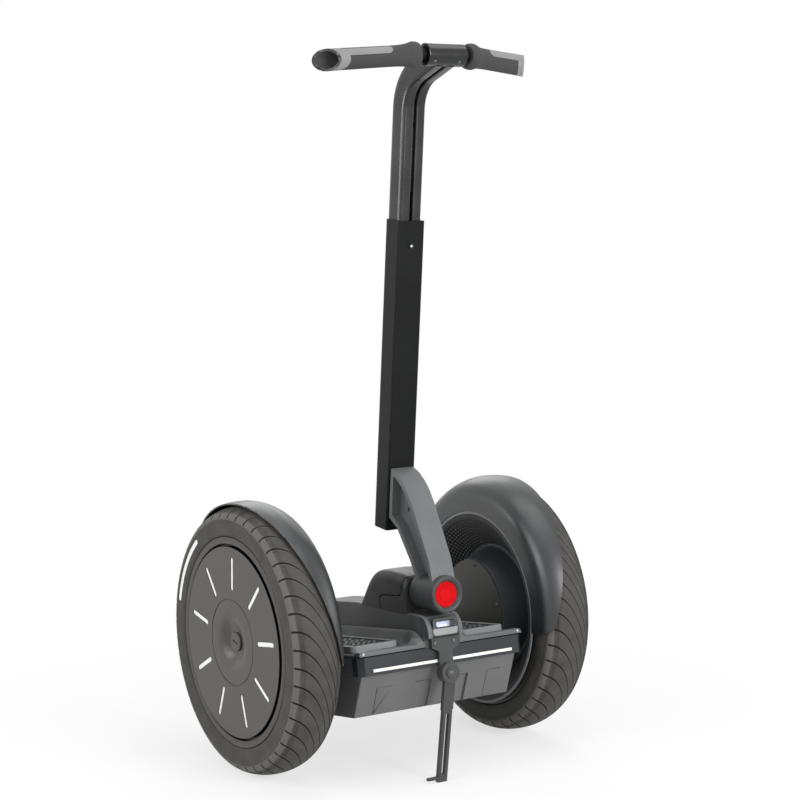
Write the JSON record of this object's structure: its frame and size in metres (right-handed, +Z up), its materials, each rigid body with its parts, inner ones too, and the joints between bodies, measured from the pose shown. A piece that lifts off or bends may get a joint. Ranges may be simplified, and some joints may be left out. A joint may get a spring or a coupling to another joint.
{
  "type": "self balancing personal transporter",
  "caption": "Two-wheeled self balancing transporter: powered wheels on one axle line, a platform with foot mats, a leaning steering mast with a handlebar, and a folding parking stand.",
  "frame": {"origin": "on the ground, straight under the middle of the wheel axle, with the machine parked on its stand as pictured", "axes": "+Z up, -Y towards the front with the stand and steering hub, +X towards the rider's left wheel"},
  "size_m": [0.629, 0.4898, 1.2964],
  "materials": {
    "tyre_rubber": "matte",
    "wheel_plastic": "satin",
    "rim_metal": "satin",
    "cast_metal": "cast, powder coated",
    "dark_plastic": "satin",
    "fender_plastic": "satin gloss",
    "battery_plastic": "fine grained",
    "mast_metal": "black coated satin",
    "steel": "machined",
    "white_inlay": "smooth",
    "mat_rubber": "ribbed",
    "grip_rubber": "fine grained",
    "light_plastic": "satin",
    "badge_red": "glossy",
    "lens": "glossy",
    "socket_plastic": "matte",
    "elastomer": "matte",
    "board": "coated",
    "stand_metal": "satin"
  },
  "bodies": {
    "chassis": {"reflector_front": "white_inlay", "reflector_rear": "white_inlay", "output_bearing_left": "steel", "output_bearing_right": "steel", "stand_bolt": "steel", "motor_stator_left": "cast_metal", "motor_stator_right": "cast_metal", "chassis_casting": "cast_metal", "gearbox_housing_left": "cast_metal", "gearbox_housing_right": "cast_metal", "gearbox_cover_left": "cast_metal", "gearbox_cover_right": "cast_metal", "splash_shield_left": "dark_plastic", "splash_shield_right": "dark_plastic", "deck_tray": "dark_plastic", "bumper_front": "dark_plastic", "bumper_rear": "dark_plastic", "pivot_housing": "dark_plastic", "pivot_cover": "dark_plastic", "fender_left": "fender_plastic", "fender_right": "fender_plastic", "foot_mat_left": "mat_rubber", "foot_mat_right": "mat_rubber", "battery_front": "battery_plastic", "battery_rear": "battery_plastic", "controller_board": "board", "balance_sensor": "dark_plastic", "centring_bush": "elastomer", "charge_inlet": "socket_plastic", "stand_bracket": "stand_metal"},
    "wheel_left": {"tyre_left": "tyre_rubber", "wheel_rim_left": "rim_metal", "disc_cover_left": "wheel_plastic", "inlay_ring_left": "white_inlay", "hub_cap_left": "wheel_plastic", "output_shaft_left": "steel"},
    "rotor_left": {"motor_rotor_left": "steel"},
    "wheel_right": {"tyre_right": "tyre_rubber", "wheel_rim_right": "rim_metal", "disc_cover_right": "wheel_plastic", "inlay_ring_right": "white_inlay", "hub_cap_right": "wheel_plastic", "output_shaft_right": "steel"},
    "rotor_right": {"motor_rotor_right": "steel"},
    "steering": {"pivot_shaft": "steel", "lower_arm": "cast_metal", "badge": "badge_red", "mast_sleeve": "mast_metal", "height_screw": "steel"},
    "mast_slide": {"inner_mast": "mast_metal", "handlebar": "mast_metal", "bar_clamp": "mast_metal", "grip_left": "grip_rubber", "grip_right": "grip_rubber", "grip_trim_left": "light_plastic", "grip_trim_right": "light_plastic"},
    "stand": {"stand_leg": "stand_metal"},
    "charge_door": {"charge_door": "light_plastic", "door_window": "lens"}
  },
  "joints": [
    {"name": "wheel_left_spin", "type": "hinge", "parent": "chassis", "child": "wheel_left", "pos_m": [0.268, 0, 0.2415], "axis": [1, 0, 0], "continuous": true},
    {"name": "wheel_right_spin", "type": "hinge", "parent": "chassis", "child": "wheel_right", "pos_m": [-0.268, 0, 0.2415], "axis": [1, 0, 0], "continuous": true},
    {"name": "rotor_left_spin", "type": "hinge", "parent": "chassis", "child": "rotor_left", "pos_m": [0.23, 0.04737, 0.23374], "axis": [1, 0, 0], "continuous": true},
    {"name": "rotor_right_spin", "type": "hinge", "parent": "chassis", "child": "rotor_right", "pos_m": [-0.23, 0.04737, 0.23374], "axis": [1, 0, 0], "continuous": true},
    {"name": "steering_lean", "type": "hinge", "parent": "chassis", "child": "steering", "pos_m": [0, -0.217, 0.333], "axis": [0, -0.9968, 0.0802], "range_deg": [-14, 14], "stiffness_Nm_per_rad": 90},
    {"name": "mast_height", "type": "slide", "parent": "steering", "child": "mast_slide", "axis": [0, -0.068, 0.9977], "range_m": [-0.15, 0.05]},
    {"name": "stand_swing", "type": "hinge", "parent": "chassis", "child": "stand", "pos_m": [0, -0.22871, 0.19383], "axis": [0, -0.9869, 0.1616], "range_deg": [0, 85]},
    {"name": "charge_door_hinge", "type": "hinge", "parent": "chassis", "child": "charge_door", "pos_m": [0, -0.21089, 0.28718], "axis": [-1, 0, 0], "range_deg": [0, 75]}
  ],
  "couplings": [
    {"joint": "rotor_left_spin", "follows": "wheel_left_spin", "ratio": -4.3333},
    {"joint": "rotor_right_spin", "follows": "wheel_right_spin", "ratio": -4.3333}
  ]
}
